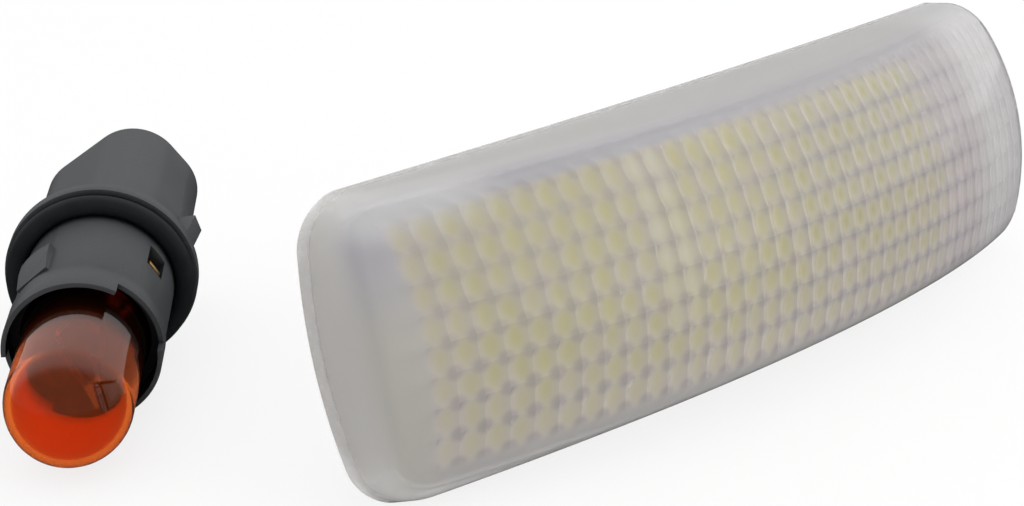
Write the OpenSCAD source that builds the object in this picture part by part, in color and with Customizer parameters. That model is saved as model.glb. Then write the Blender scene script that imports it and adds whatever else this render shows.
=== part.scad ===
// Side repeater lamp for a car's front wing, with its bulb holder taken out and laid beside it.
// The lamp stands on the lower edge of its rim and leans back on its bulb collar.
// Lamp axes: X along the lamp, Y from the face to the wing, Z up the face, rim corner at Y = 0.
// Holder axes: Z from the plug to the bulb, Z = 0 at the front of the flange.

/* [Lens outline] */
// Length of the lens between its corners
lens_length = 84.4; // [78:0.2:92]
// Height of the lens at its rim
lens_height = 24.5; // [23:0.1:28]
// Distance that each end bulges outwards
end_bulge = 1.5; // [0.4:0.1:2]
// Corner radius of the outline
outline_corner = 3.8; // [3.4:0.1:5]
// Slope of the side walls, in degrees
wall_draft = 5.5; // [3:0.5:6]

/* [Lens face] */
// Depth of the lens at its four corners
corner_depth = 3.6; // [3.4:0.1:5]
// Distance that the face bows forward along its length
face_bow = 8.9; // [7:0.1:10]
// Distance that the face arches forward across its height
face_arch = 3.5; // [2.5:0.1:4]
// Distance that the rim bows forward, to follow the wing
rim_bow = 2.5; // [1:0.1:2.8]
// Radius of the rounded edge round the face
edge_radius = 2.1; // [1.6:0.1:2.3]
// Thickness of the lens
lens_wall = 1.5; // [1.3:0.1:1.6]

/* [Pillow optics inside the face] */
// Number of columns
pillow_columns = 39; // [37:1:39]
// Number of rows
pillow_rows = 8; // [7:1:8]
// Width of one pillow
pillow_width = 2; // [1.8:0.05:2]
// Height of one pillow
pillow_height = 2.3; // [2:0.05:2.3]
// Distance that a pillow's middle stands above its corners
pillow_rise = 0.4; // [0.2:0.05:0.6]

/* [Rear housing] */
// Thickness of the rear plate
plate_thickness = 1.2; // [1:0.1:1.4]
// Height of the tongue that locates the plate in the lens
tongue_height = 2; // [1:0.1:2.5]
// Thickness of that tongue
tongue_wall = 1.2; // [0.8:0.1:1.5]
// Distance from the rim's corners to the end of the bulb collar
collar_length = 15.5; // [14:0.1:18]
// Wall of the bulb collar
collar_wall = 1.3; // [1:0.1:1.6]
// Thickness of the ribs round the collar
rib_thickness = 1.2; // [0.8:0.1:1.6]
// Reach of the ribs out from the collar
rib_reach = 5; // [3:0.1:5.5]
// Height of the ribs behind the plate
rib_height = 9; // [6:0.1:11]
// Distance between the two ribs on one side of the collar
rib_spacing = 8; // [6:0.1:10]

/* [Fixings on the wing] */
// Thickness of the wing's sheet that the lamp clips into
wing_sheet = 1; // [0.7:0.1:1.2]
// Distance from the middle of the lamp to the hook and to the clip
fixing_x = 33.5; // [31:0.1:34]
// Width of the hook and of the clip
fixing_width = 8; // [6:0.1:9]
// Thickness of the hook's stem and lip
hook_thickness = 2; // [1.6:0.1:2.5]
// Reach of the hook's lip past its stem
hook_reach = 3; // [2:0.1:3.5]
// Thickness of the post that carries the spring clip
post_thickness = 2.4; // [2:0.1:3]
// Thickness of the spring clip's steel
clip_steel = 0.5; // [0.4:0.05:0.6]
// Depth of the spring clip behind the plate
clip_depth = 7.5; // [6:0.1:9]
// Distance that the clip's leaf springs out from its post
clip_spring = 2.6; // [2:0.1:3]
// Distance from the plate to the clip's two ends
clip_foot = 0.8; // [0.6:0.1:1.2]
// Width of the panel seal's foam strip
seal_width = 2.2; // [1.6:0.1:2.4]
// Thickness of the panel seal's foam strip
seal_thickness = 1.2; // [0.8:0.1:1.6]
// Distance from the rim to the panel seal
seal_inset = 2; // [1.8:0.1:2.4]
// Least width of the foam strip, where it passes the collar
seal_least = 1.2; // [0.8:0.1:1.6]

/* [Bulb holder] */
// Radius of the neck that turns into the collar
neck_radius = 6.45; // [6.3:0.05:6.5]
// Distance from the flange to the neck's front rim
neck_length = 14; // [13.6:0.1:15]
// Height of the raised band round the neck's front rim
band_height = 3.2; // [2.5:0.1:4]
// Distance that the band stands out from the neck
band_proud = 0.15; // [0.1:0.05:0.3]
// Depth of the two steps in the neck's front rim
step_depth = 1.4; // [1:0.1:2.4]
// Angle that each step takes up
step_angle = 59; // [40:1:70]
// Radius of the flange
flange_radius = 8.4; // [8.3:0.05:8.7]
// Thickness of the flange
flange_thickness = 1.2; // [1:0.1:1.6]
// Distance that the two bayonet lugs stand out from the neck
lug_proud = 0.6; // [0.5:0.05:0.9]
// Distance that a lug still stands out where its ramp ends
lug_tip = 0.1; // [0.05:0.05:0.3]
// Length of a lug along the neck
lug_length = 4; // [3:0.1:4.4]
// Width of a lug round the neck
lug_width = 3.4; // [2.8:0.1:3.6]
// Distance from the flange to the lugs
lug_offset = 6; // [5:0.1:6.4]
// Width of the two contact windows
window_width = 2; // [1.5:0.1:2.2]
// Length of the two contact windows
window_length = 3.2; // [2.6:0.1:3.6]
// Section radius of the rubber sealing ring
ring_section = 0.85; // [0.75:0.05:0.9]

/* [Plug housing of the holder] */
// Width of the plug housing
plug_width = 13.8; // [13:0.1:14.4]
// Height of the plug housing
plug_height = 11; // [10.6:0.1:11.4]
// Length of the plug housing behind the flange
plug_length = 15.7; // [15:0.1:18]
// Corner radius of the plug housing
plug_corner = 4.4; // [4:0.1:5]
// Wall of the plug housing
plug_wall = 1.2; // [1:0.1:1.4]
// Depth of the socket for the car's plug
socket_depth = 11.5; // [10:0.1:12]
// Angle of the plug housing about the holder's axis
plug_angle = 35; // [0:1:90]
// Distance that the plug's latch stands out
latch_proud = 1.3; // [0.8:0.1:1.6]
// Width of the latch
latch_width = 3.2; // [2.4:0.1:4]
// Length of the latch along the plug housing
latch_length = 4.5; // [3:0.1:6]
// Distance from the flange to the latch
latch_offset = 4.5; // [2:0.1:6]
// Distance from the axis to the edge of the two grip ribs behind the flange
grip_reach = 8.6; // [8.2:0.1:9]
// Width of a grip rib
grip_width = 1.6; // [1.2:0.1:2]
// Length of a grip rib behind the flange
grip_length = 4.6; // [3:0.1:5]

/* [Bulb] */
// Diameter of the bulb's glass
bulb_diameter = 10.3; // [10:0.1:10.5]
// Length of the bulb from its base to its tip
bulb_length = 26.8; // [26:0.1:27.5]
// Distance that the bulb's tip stands in front of the neck
bulb_reach = 13; // [12.5:0.1:13.2]
// Thickness of the bulb's glass
glass_wall = 0.6; // [0.5:0.05:0.8]
// Thickness of the pinched base
base_thickness = 2.2; // [2:0.1:2.4]
// Width of the pinched base
base_width = 9.2; // [8.8:0.1:9.4]
// Height of the pinched base
base_height = 6.5; // [6:0.1:7]
// Radius of the lead wires
lead_radius = 0.22; // [0.2:0.02:0.3]
// Radius of the filament's coil
filament_radius = 0.3; // [0.24:0.02:0.4]
// Height of the filament's arc
filament_sag = 1.2; // [0.8:0.1:1.6]

/* [Contacts] */
// Thickness of the contacts' brass
contact_brass = 0.5; // [0.4:0.05:0.6]
// Width of a contact inside the holder
contact_width = 3; // [2.6:0.1:3.4]
// Width of a terminal blade in the socket
blade_width = 2.8; // [2.4:0.1:3.2]
// Distance between the middles of the two blades
blade_spacing = 5; // [4.4:0.1:5.6]
// Length of the blades in the socket
blade_length = 7.5; // [6:0.1:8.5]
// Depth of a contact's barb below the neck's surface
barb_depth = 0.05; // [0.05:0.05:0.4]

/* [Fits] */
// Clearance between the plate and the lens
plate_gap = 0.15; // [0.1:0.05:0.25]
// Clearance between the holder's neck and the collar
neck_gap = 0.25; // [0.2:0.05:0.35]
// Clearance between the bulb and the holder
bulb_gap = 0.3; // [0.2:0.05:0.35]
// Clearance between a contact and its pocket
pocket_gap = 0.1; // [0.05:0.05:0.15]
// Clearance between a contact's barb and its window
barb_gap = 0.3; // [0.2:0.05:0.4]
// Clearance of a bayonet lug in its track
track_gap = 0.4; // [0.3:0.05:0.5]
// Distance that the sealing ring is squeezed by when the holder is locked
ring_squeeze = 0.3; // [0.1:0.05:0.5]
// Clearance between pieces that lie against each other
seat_gap = 0.02; // [0.01:0.01:0.04]

/* [Layout] */
// Place of the lamp's middle along X
lamp_x = 6.5; // [5:0.1:9]
// Place along Y of the edge that the lamp stands on
lamp_y = -22.3; // [-24:0.1:-20]
// Place of the holder's flange along X
holder_x = -30.2; // [-33:0.1:-28]
// Place of the holder's flange along Y
holder_y = 17.95; // [15:0.05:20]
// Turn of the holder on the floor, in degrees
holder_turn = -43.4; // [-55:0.1:-30]

/* [Hidden] */
$fn = 96;
end_x = lens_length / 2;
mid_z = lens_height / 2;
// Hair's breadth by which a cut runs past the face that it opens, and a longer run for wide cuts
over = 0.02;
past = 1;

// The rim follows an arc in plan, whose middle lies behind the lamp
rim_curve = (pow(end_x, 2) / rim_bow + rim_bow) / 2;
rim_centre = rim_curve - rim_bow;

// The collar takes the holder's neck
band_radius = neck_radius + band_proud;
bore_radius = band_radius + neck_gap;
collar_radius = bore_radius + collar_wall;

// The lamp stands on its rim beside the corners, and leans back until the collar touches the floor
foot_y = rim_y(end_x - outline_corner);
lamp_lean = atan((mid_z - collar_radius) / (collar_length - foot_y));

// The holder lies on its flange and on its neck's front rim
holder_dip = atan((flange_radius - band_radius) / neck_length);

// Depth by which the pinched base runs into the round glass
base_sink = 1;

// Holder and bulb, in the holder's axes
bulb_radius = bulb_diameter / 2;
neck_bore = bulb_radius + bulb_gap;
bulb_base_z = neck_length + bulb_reach - bulb_length;
bulb_shoulder_z = bulb_base_z + base_height - base_sink + bulb_radius;
bulb_dome_z = bulb_base_z + bulb_length - bulb_radius;
plug_end_z = -flange_thickness - plug_length;
socket_floor_z = plug_end_z + socket_depth;
bulb_floor_z = bulb_base_z - 2 * lead_radius - 3 * seat_gap;

// Depth by which pieces of the holder's moulding run into its flange
root = flange_thickness / 2;

// Angles about the holder's axis: the lugs, the bulb with its contacts, and the grip ribs
lug_turn = 129;
contact_turn = 31;
grip_turn = 16;

// Leads, in the bulb's own turn about the axis: half their spacing at the base and at the
// filament, the filament's height above the lower round, and how far the base folds them back up
lead_half = 1.3;
post_half = 2.8;
post_rise = 5;
lead_fold = 0.7;
post_z = bulb_shoulder_z + post_rise;
lead_x = base_thickness / 2 + lead_radius + seat_gap;

// Contacts: a leg on the lead, a foot on the pocket's floor, and a tang behind the window, which
// opens in front of the sealing ring and ends well below the round of the bulb
contact_x = lead_x + lead_radius + seat_gap;
contact_foot_z = bulb_floor_z + seat_gap;
contact_top_z = bulb_shoulder_z - neck_bore;
tang_x = sqrt(pow(neck_bore, 2) - pow(contact_width / 2, 2)) - pocket_gap;
window_drop = 3;
window_z = min(2 * ring_section + 1, bulb_shoulder_z - window_drop - window_length);
tang_top_z = window_z + window_length;

module in_lamp()
    translate([lamp_x, lamp_y, 0]) rotate([-lamp_lean, 0, 0]) translate([0, -foot_y, 0]) children();

module in_holder()
    translate([holder_x, holder_y, flange_radius * cos(holder_dip)])
        rotate([0, 0, holder_turn]) rotate([90 + holder_dip, 0, 0]) children();

module in_bulb() rotate(contact_turn) children();

// Extrudes a front view of the lamp from one depth to another
module along_y(front, back)
    translate([0, back, 0]) rotate([90, 0, 0]) linear_extrude(back - front) children();

// Surfaces of the lens, in the lamp's axes, with Z counted from mid height
function bow(x) = 1 - pow(x / end_x, 2);
function arch(z) = 1 - pow(z / mid_z, 2);
function face_y(p) = -(corner_depth + face_bow * bow(p[0]) + face_arch * arch(p[1]));
function rim_y(x) = rim_centre - sqrt(pow(rim_curve, 2) - pow(x, 2));

// Rounds the corners of a rectangle of half sizes a and b
function round_corner(p, a, b, r) =
    let (q = [abs(p[0]) - a + r, abs(p[1]) - b + r])
    min(q[0], q[1]) > 0
        ? [sign(p[0]) * (a - r + r * q[0] / norm(q)), sign(p[1]) * (b - r + r * q[1] / norm(q))]
        : p;

// Outline of the lens at an inset, for a point of the unit square's edge
least_corner = 0.5;
function outline(uv, inset) =
    let (a = end_x - inset, b = mid_z - inset, r = max(outline_corner - inset, least_corner),
         p = round_corner([uv[0] * a, uv[1] * b], a, b, r))
    [p[0] + sign(p[0]) * end_bulge * (1 - pow(p[1] / b, 2)) * pow(p[0] / a, 4), p[1]];

// Pulls a point of the wall in by the draft over its depth
function drafted(p, y) =
    let (pull = tan(wall_draft) * abs(y))
    [p[0] - sign(p[0]) * pull * pow(p[0] / end_x, 6), y,
     p[1] - sign(p[1]) * pull * pow(p[1] / mid_z, 6) + mid_z];

// Each pillow is two steps of the grid wide and two high, so its middle is a point of the grid
steps_x = 2 * pillow_columns;
steps_z = 2 * pillow_rows;
grid_edge = concat(
    [for (i = [0:steps_x - 1]) [i, 0]],
    [for (j = [0:steps_z - 1]) [steps_x, j]],
    [for (i = [steps_x:-1:1]) [i, steps_z]],
    [for (j = [steps_z:-1:1]) [0, j]]);
edge_uv = [for (s = grid_edge) [2 * s[0] / steps_x - 1, 2 * s[1] / steps_z - 1]];
edge_count = len(grid_edge);
grid_count = (steps_x + 1) * (steps_z + 1);

function grid_place(i, j) =
    [(i - pillow_columns) * pillow_width / 2, (j - pillow_rows) * pillow_height / 2];
function pillow(i, j) = pillow_rise * (i % 2 + j % 2) / 2;
function face_point(i, j, back) =
    let (p = grid_place(i, j)) [p[0], face_y(p) + back, p[1] + mid_z];
function wall_ring(inset, back) =
    [for (uv = edge_uv) let (p = outline(uv, inset)) drafted(p, face_y(p) + back)];
function rim_ring(inset) =
    [for (uv = edge_uv) let (p = outline(uv, inset)) [p[0], rim_y(p[0]), p[1] + mid_z]];
function edge_ring(turn) = wall_ring(edge_radius * (1 - cos(turn)), edge_radius * (1 - sin(turn)));

// Rings run from the face, over the edge, down the wall, round the rim and back up inside
edge_step = 30;
lens_rings = concat(
    [for (turn = [90:-edge_step:0]) edge_ring(turn)],
    [rim_ring(0), rim_ring(lens_wall)],
    [wall_ring(lens_wall, edge_radius), wall_ring(edge_radius, lens_wall)]);
lens_points = concat(
    [for (i = [0:steps_x], j = [0:steps_z]) face_point(i, j, 0)],
    [for (ring = lens_rings, p = ring) p],
    [for (i = [0:steps_x], j = [0:steps_z]) face_point(i, j, lens_wall + pillow(i, j))]);
inner_start = grid_count + len(lens_rings) * edge_count;

function grid_index(i, j) = i * (steps_z + 1) + j;
function ring_index(ring, k) =
    let (s = grid_edge[k % edge_count])
    ring == 0 ? grid_index(s[0], s[1])
    : ring > len(lens_rings) ? inner_start + grid_index(s[0], s[1])
    : grid_count + (ring - 1) * edge_count + k % edge_count;

// Two triangles of one step, cut from a pillow's corner to its middle
function step_faces(i, j) =
    let (a = grid_index(i, j), b = grid_index(i + 1, j),
         c = grid_index(i + 1, j + 1), d = grid_index(i, j + 1))
    (i + j) % 2 == 0 ? [[a, c, b], [a, d, c]] : [[a, d, b], [b, d, c]];
function turned_over(f) = [f[0] + inner_start, f[2] + inner_start, f[1] + inner_start];
front_faces = [for (i = [0:steps_x - 1], j = [0:steps_z - 1], f = step_faces(i, j)) f];
lens_faces = concat(
    front_faces,
    [for (f = front_faces) turned_over(f)],
    [for (ring = [0:len(lens_rings)], k = [0:edge_count - 1], half = [0, 1])
        half == 0
            ? [ring_index(ring, k), ring_index(ring, k + 1), ring_index(ring + 1, k + 1)]
            : [ring_index(ring, k), ring_index(ring + 1, k + 1), ring_index(ring + 1, k)]]);

// Clear acrylic cover, moulded in one piece with its pillow optics
module lens_cover()
    color([0.80, 0.79, 0.74, 0.55]) in_lamp() polyhedron(lens_points, lens_faces);

// Front view of the outline at an inset
module outline_shape(inset)
    translate([0, mid_z]) polygon([for (uv = edge_uv) outline(uv, inset)]);

// Curved sheet along the rim: its back lies at a distance behind the rim, and its front one
// thickness further forward. The arc is so wide that it takes many facets.
rim_facets = 900;
module rim_sheet(behind, thickness)
    translate([0, rim_centre, 0]) difference() {
        cylinder(r = rim_curve - behind + thickness, h = lens_height, $fn = rim_facets);
        translate([0, 0, -over])
            cylinder(r = rim_curve - behind, h = lens_height + 2 * over, $fn = rim_facets);
    }

module collar_tube(radius, front, back)
    translate([0, back, mid_z]) rotate([90, 0, 0]) cylinder(r = radius, h = back - front);

// One bayonet track in the collar: a way in for the lug, and a turn that locks it
track_width = lug_width + 2 * track_gap;
track_radius = neck_radius + lug_proud + neck_gap;
track_turn = 40;
track_length = lug_length + track_gap;
lug_seat_y = collar_length + 2 * ring_section - ring_squeeze - lug_offset;
module bayonet_track()
    translate([0, 0, mid_z]) rotate([90, 0, 0]) {
        translate([0, -track_width / 2, -collar_length - over])
            intersection() {
                cube([track_radius, track_width, collar_length - lug_seat_y + track_length]);
                translate([0, track_width / 2, 0]) cylinder(r = track_radius, h = 2 * collar_length);
            }
        translate([0, 0, -lug_seat_y]) rotate_extrude(angle = track_turn)
            translate([bore_radius - past, 0])
                square([track_radius - bore_radius + past, track_length]);
    }

// Rib from the collar down to the plate, on one side of the lamp, rooted in both
rib_root = collar_radius - collar_wall / 2;
rib_tip = 1;
module collar_rib(side, z)
    translate([0, 0, z - rib_thickness / 2]) linear_extrude(rib_thickness)
        polygon([[side * rib_root, -rim_bow - plate_thickness / 2],
                 [side * (collar_radius + rib_reach), -rim_bow - plate_thickness / 2],
                 [side * (collar_radius + rib_reach), -rim_bow + rib_tip],
                 [side * rib_root, rib_height - rim_bow]]);

// Hook that goes behind the wing's sheet at one end
lip_y = rim_y(fixing_x) + seal_thickness + wing_sheet;
module wing_hook()
    translate([-fixing_x, 0, mid_z - fixing_width / 2]) linear_extrude(fixing_width) {
        translate([-hook_thickness / 2, rim_y(fixing_x) - plate_thickness / 2])
            square([hook_thickness, lip_y - rim_y(fixing_x) + plate_thickness / 2 + hook_thickness]);
        polygon([[0, lip_y], [-hook_thickness / 2 - hook_reach, lip_y],
                 [-hook_thickness / 2 - hook_reach, lip_y + hook_thickness / 2],
                 [-hook_thickness / 2, lip_y + hook_thickness], [0, lip_y + hook_thickness]]);
    }

// Post that carries the spring clip at the other end
post_foot = rim_y(fixing_x) - plate_thickness / 2;
post_top = rim_y(fixing_x) + clip_depth - clip_steel;
module clip_post()
    translate([fixing_x - post_thickness / 2, post_foot, mid_z - fixing_width / 2])
        cube([post_thickness, post_top - post_foot, fixing_width]);

// The tongue stands further in than the plate, as the lens's walls lean inwards
tongue_inset = lens_wall + 3 * plate_gap;

// White base that closes the lens, with the collar for the bulb holder
module rear_housing()
    color([0.90, 0.90, 0.86]) in_lamp() difference() {
        union() {
            intersection() {
                along_y(-lens_height, lens_height) outline_shape(lens_wall + plate_gap);
                rim_sheet(0, plate_thickness);
            }
            intersection() {
                along_y(-lens_height, lens_height) difference() {
                    outline_shape(tongue_inset);
                    outline_shape(tongue_inset + tongue_wall);
                }
                translate([-fixing_x, -lens_height, -over])
                    cube([2 * fixing_x, 2 * lens_height, lens_height + 2 * over]);
                rim_sheet(-plate_thickness + over, tongue_height + over);
            }
            collar_tube(collar_radius, -rim_bow - plate_thickness / 2, collar_length);
            for (side = [-1, 1], row = [-1, 1]) collar_rib(side, mid_z + row * rib_spacing / 2);
            wing_hook();
            clip_post();
        }
        collar_tube(bore_radius, -2 * rim_bow - plate_thickness, collar_length + over);
        for (turn = [0, 180])
            translate([0, 0, mid_z]) rotate([0, turn, 0]) translate([0, 0, -mid_z]) bayonet_track();
    }

// Foam strip between the rim and the wing, narrow enough to pass the collar
seal_inner = min(seal_inset + seal_width, mid_z - collar_radius - plate_gap);
seal_outer = min(seal_inset, seal_inner - seal_least);
module panel_seal()
    color([0.20, 0.20, 0.21]) in_lamp() intersection() {
        along_y(-lens_height, lens_height) difference() {
            outline_shape(seal_outer);
            outline_shape(seal_inner);
        }
        rim_sheet(seal_thickness + seat_gap, seal_thickness);
    }

// Straight run of bent strip between two points, with a round bend at its far end
module strip_run(p, q, thickness)
    translate(p) rotate(atan2(q[1] - p[1], q[0] - p[0])) {
        translate([0, -thickness / 2]) square([norm(q - p), thickness]);
        translate([norm(q - p), 0]) circle(d = thickness, $fn = 24);
    }

// Steel leaf that is pushed over its post and snaps behind the wing's sheet
clip_near = fixing_x - post_thickness / 2 - clip_steel / 2 - plate_gap / 2;
clip_far = fixing_x + post_thickness / 2 + clip_steel / 2 + plate_gap / 2;
clip_top = post_top + clip_steel / 2 + plate_gap / 2;
clip_foot_y = rim_y(fixing_x) + clip_foot;
clip_width = fixing_width - 2 * clip_steel;
clip_path = [[clip_near, clip_foot_y], [clip_near, clip_top], [clip_far, clip_top],
             [clip_far + clip_spring, lip_y + wing_sheet], [clip_far + clip_spring / 2, clip_foot_y]];
module retaining_clip()
    color([0.62, 0.64, 0.66]) in_lamp()
        translate([0, 0, mid_z - clip_width / 2]) linear_extrude(clip_width)
            for (k = [1:len(clip_path) - 1]) strip_run(clip_path[k - 1], clip_path[k], clip_steel);

// Rounded rectangle made of true arcs
module rounded_rect(width, height, corner) {
    square([width - 2 * corner, height], center = true);
    square([width, height - 2 * corner], center = true);
    for (x = [-1, 1], y = [-1, 1])
        translate([x * (width / 2 - corner), y * (height / 2 - corner)]) circle(corner);
}

latch_z = -flange_thickness - latch_offset - latch_length;
module plug_section(inset)
    rotate(plug_angle)
        rounded_rect(plug_width - 2 * inset, plug_height - 2 * inset, plug_corner - inset);

// Space round the bulb in the neck
module bulb_bore() {
    translate([0, 0, bulb_shoulder_z]) {
        cylinder(r = neck_bore, h = neck_length);
        sphere(r = neck_bore);
    }
    in_bulb() translate([-base_thickness / 2 - bulb_gap, -base_width / 2 - bulb_gap, bulb_floor_z])
        cube([base_thickness + 2 * bulb_gap, base_width + 2 * bulb_gap, base_height + 2 * past]);
}

// Pocket of one contact, with its window and the slot that its blade goes through
pocket_width = contact_width + 2 * pocket_gap;
pocket_height = max(tang_top_z, contact_top_z) - bulb_floor_z + past;
slot = [contact_brass + 2 * seat_gap, blade_width + 2 * seat_gap, bulb_floor_z - socket_floor_z + past];
module contact_pocket()
    in_bulb() {
        translate([0, -pocket_width / 2, bulb_floor_z])
            cube([tang_x + pocket_gap / 2, pocket_width, pocket_height]);
        translate([(blade_spacing - slot[0]) / 2, -slot[1] / 2, socket_floor_z - over]) cube(slot);
        translate([tang_x, -window_width / 2, window_z])
            cube([neck_radius - tang_x + past, window_width, window_length]);
    }

// One of two steps in the neck's front rim
module rim_step()
    rotate_extrude(angle = step_angle)
        translate([neck_bore - past, neck_length - step_depth])
            square([band_radius - neck_bore + 2 * past, step_depth + past]);

// Lug that falls in a ramp towards the bulb
module bayonet_lug()
    rotate(lug_turn) intersection() {
        rotate([90, 0, 0]) translate([0, 0, -lug_width / 2]) linear_extrude(lug_width)
            polygon([[neck_bore, lug_offset],
                     [neck_radius + lug_proud, lug_offset],
                     [neck_radius + lug_tip, lug_offset + lug_length],
                     [neck_bore, lug_offset + lug_length]]);
        cylinder(r = neck_radius + lug_proud, h = neck_length);
    }

// Rib behind the flange, which stands out most at a share of its length
grip_crest = 0.85;
module grip_rib()
    rotate([90, 0, grip_turn]) translate([0, 0, -grip_width / 2]) linear_extrude(grip_width)
        polygon([[plug_height / 2 - plug_wall, -root],
                 [flange_radius - root, -root],
                 [grip_reach, -flange_thickness - grip_crest * grip_length],
                 [plug_width / 2, -flange_thickness - grip_length],
                 [plug_height / 2 - plug_wall, -flange_thickness - grip_length]]);

// Black moulded holder in one piece, with its neck and plug housing rooted in the flange
module holder_body()
    color([0.27, 0.28, 0.29]) in_holder() difference() {
        union() {
            translate([0, 0, -root]) cylinder(r = neck_radius, h = neck_length + root);
            translate([0, 0, neck_length - band_height]) cylinder(r = band_radius, h = band_height);
            for (turn = [0, 180]) rotate(turn) bayonet_lug();
            translate([0, 0, -flange_thickness]) cylinder(r = flange_radius, h = flange_thickness);
            translate([0, 0, plug_end_z]) linear_extrude(plug_length + root) plug_section(0);
            rotate(plug_angle - 90) translate([plug_height / 2 - plug_wall, -latch_width / 2, latch_z])
                cube([latch_proud + plug_wall, latch_width, latch_length]);
            for (turn = [0, 180]) rotate(turn) grip_rib();
        }
        bulb_bore();
        for (turn = [0, 180]) rotate(turn) {
            contact_pocket();
            rim_step();
        }
        translate([0, 0, plug_end_z - over]) linear_extrude(socket_depth + over) plug_section(plug_wall);
    }

// Rubber ring in front of the flange
module holder_seal()
    color([0.13, 0.14, 0.15]) in_holder() translate([0, 0, ring_section]) rotate_extrude()
        translate([neck_radius + ring_section + seat_gap, 0]) circle(ring_section, $fn = 48);

// Barb cut from the tang, bent out and forward into the window
barb_width = window_width - 2 * barb_gap;
module contact_barb()
    rotate([90, 0, 0]) translate([0, 0, -barb_width / 2]) linear_extrude(barb_width)
        polygon([[tang_x - contact_brass / 2, window_z + contact_brass],
                 [neck_radius - barb_depth, tang_top_z - barb_gap - contact_brass],
                 [neck_radius - barb_depth, tang_top_z - barb_gap],
                 [tang_x - contact_brass / 2, window_z + 3 * contact_brass]]);

// Brass strip: a spring leg on the bulb's lead, a tang behind the window, and a terminal blade
module contact_shape() {
    leg = contact_brass;
    wide = contact_width;
    translate([contact_x, -wide / 2, contact_foot_z]) cube([leg, wide, contact_top_z - contact_foot_z]);
    translate([contact_x, -wide / 2, contact_foot_z]) cube([tang_x - contact_x, wide, leg]);
    translate([tang_x - leg, -wide / 2, contact_foot_z]) cube([leg, wide, tang_top_z - contact_foot_z]);
    translate([blade_spacing / 2 - leg / 2, -blade_width / 2, socket_floor_z - blade_length])
        cube([leg, blade_width, contact_foot_z + leg - socket_floor_z + blade_length]);
    contact_barb();
}
module contact_right() color([0.78, 0.60, 0.30]) in_holder() in_bulb() contact_shape();
module contact_left() color([0.78, 0.60, 0.30]) in_holder() in_bulb() rotate(180) contact_shape();

// Wire bent along a route of points, with mitred bends; no run of a route lies along Y
function unit(v) = v / norm(v);
function run_way(route, k) = unit(route[k + 1] - route[k]);
function wire_ring(route, k, radius, sides) =
    let (before = run_way(route, max(k - 1, 0)), after = run_way(route, min(k, len(route) - 2)),
         along = unit(before + after), across = unit(cross(along, [0, 1, 0])), up = cross(along, across),
         bend = cross(before, after), mitre = 2 / norm(before + after),
         in_y = abs(bend[1]) > 0.001)
    [for (s = [0:sides - 1])
        let (c = radius * cos(360 * s / sides), d = radius * sin(360 * s / sides))
        route[k] + c * (in_y ? mitre : 1) * across + d * (in_y ? 1 : mitre) * up];

module wire(route, radius, sides = 12) {
    last = len(route) - 1;
    points = [for (k = [0:last], p = wire_ring(route, k, radius, sides)) p];
    near_end = [for (s = [0:sides - 1]) s];
    far_end = [for (s = [sides - 1:-1:0]) last * sides + s];
    walls = [for (k = [0:last - 1], s = [0:sides - 1], half = [0, 1])
        let (a = k * sides + s, b = k * sides + (s + 1) % sides)
        half == 0 ? [a, a + sides, b + sides] : [a, b + sides, b]];
    polyhedron(points, concat([near_end, far_end], walls));
}

// Lead from the bulb's base to the filament, in the bulb's own turn: side is 1 or -1
function lead_route(side) = [
    [side * lead_x, side * lead_half, bulb_base_z + lead_fold * base_height],
    [side * lead_x, side * lead_half, bulb_base_z - lead_radius - seat_gap],
    [0, side * lead_half, bulb_base_z - lead_radius - seat_gap],
    [0, side * lead_half, bulb_base_z + base_height + past],
    [0, side * post_half, post_z - filament_radius]];

module lead(side)
    color([0.72, 0.72, 0.70]) in_holder() in_bulb() wire(lead_route(side), lead_radius);
module lead_right() lead(1);
module lead_left() lead(-1);

// Coiled filament, as the arc that it hangs in between the two leads
module filament() {
    arc_radius = (pow(post_half, 2) + pow(filament_sag, 2)) / (2 * filament_sag);
    half_turn = asin(post_half / arc_radius);
    color([0.35, 0.34, 0.34]) in_holder() in_bulb()
        translate([0, 0, post_z + filament_sag - arc_radius]) rotate([90, 0, 90]) rotate(90 - half_turn)
            rotate_extrude(angle = 2 * half_turn)
                translate([arc_radius, 0]) circle(filament_radius, $fn = 24);
}

// Round body of the bulb, closed by a dome at each end
module bulb_capsule(inset) {
    translate([0, 0, bulb_shoulder_z]) cylinder(r = bulb_radius - inset, h = bulb_dome_z - bulb_shoulder_z);
    for (z = [bulb_shoulder_z, bulb_dome_z]) translate([0, 0, z]) sphere(r = bulb_radius - inset);
}

// Amber glass with its pinched base, blown in one piece
module bulb_glass()
    color([0.80, 0.22, 0.04, 0.8]) in_holder() in_bulb() difference() {
        union() {
            bulb_capsule(0);
            translate([-base_thickness / 2, -base_width / 2, bulb_base_z])
                cube([base_thickness, base_width, base_height + past]);
        }
        bulb_capsule(glass_wall);
        for (side = [-1, 1]) translate([0, side * lead_half, bulb_base_z - over])
            cylinder(r = lead_radius + seat_gap, h = base_height, $fn = 24);
    }

lens_cover();
rear_housing();
panel_seal();
retaining_clip();
holder_body();
holder_seal();
contact_left();
contact_right();
bulb_glass();
lead_left();
lead_right();
filament();
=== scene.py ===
# %% [markdown]
# A side repeater lamp is the small indicator on a car's front wing. Here its clear cover and white
# housing stand on a pale floor, and its amber bulb lies beside it in the black holder that was turned
# out of the housing. The CAD part gives every size and place. This lesson makes the looks: finer
# meshes where the CAD's facets would show, and one material for each thing that the real one is
# made of.
# %% Load the CAD part
import math

import bpy
from mathutils import Matrix, Vector


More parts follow.
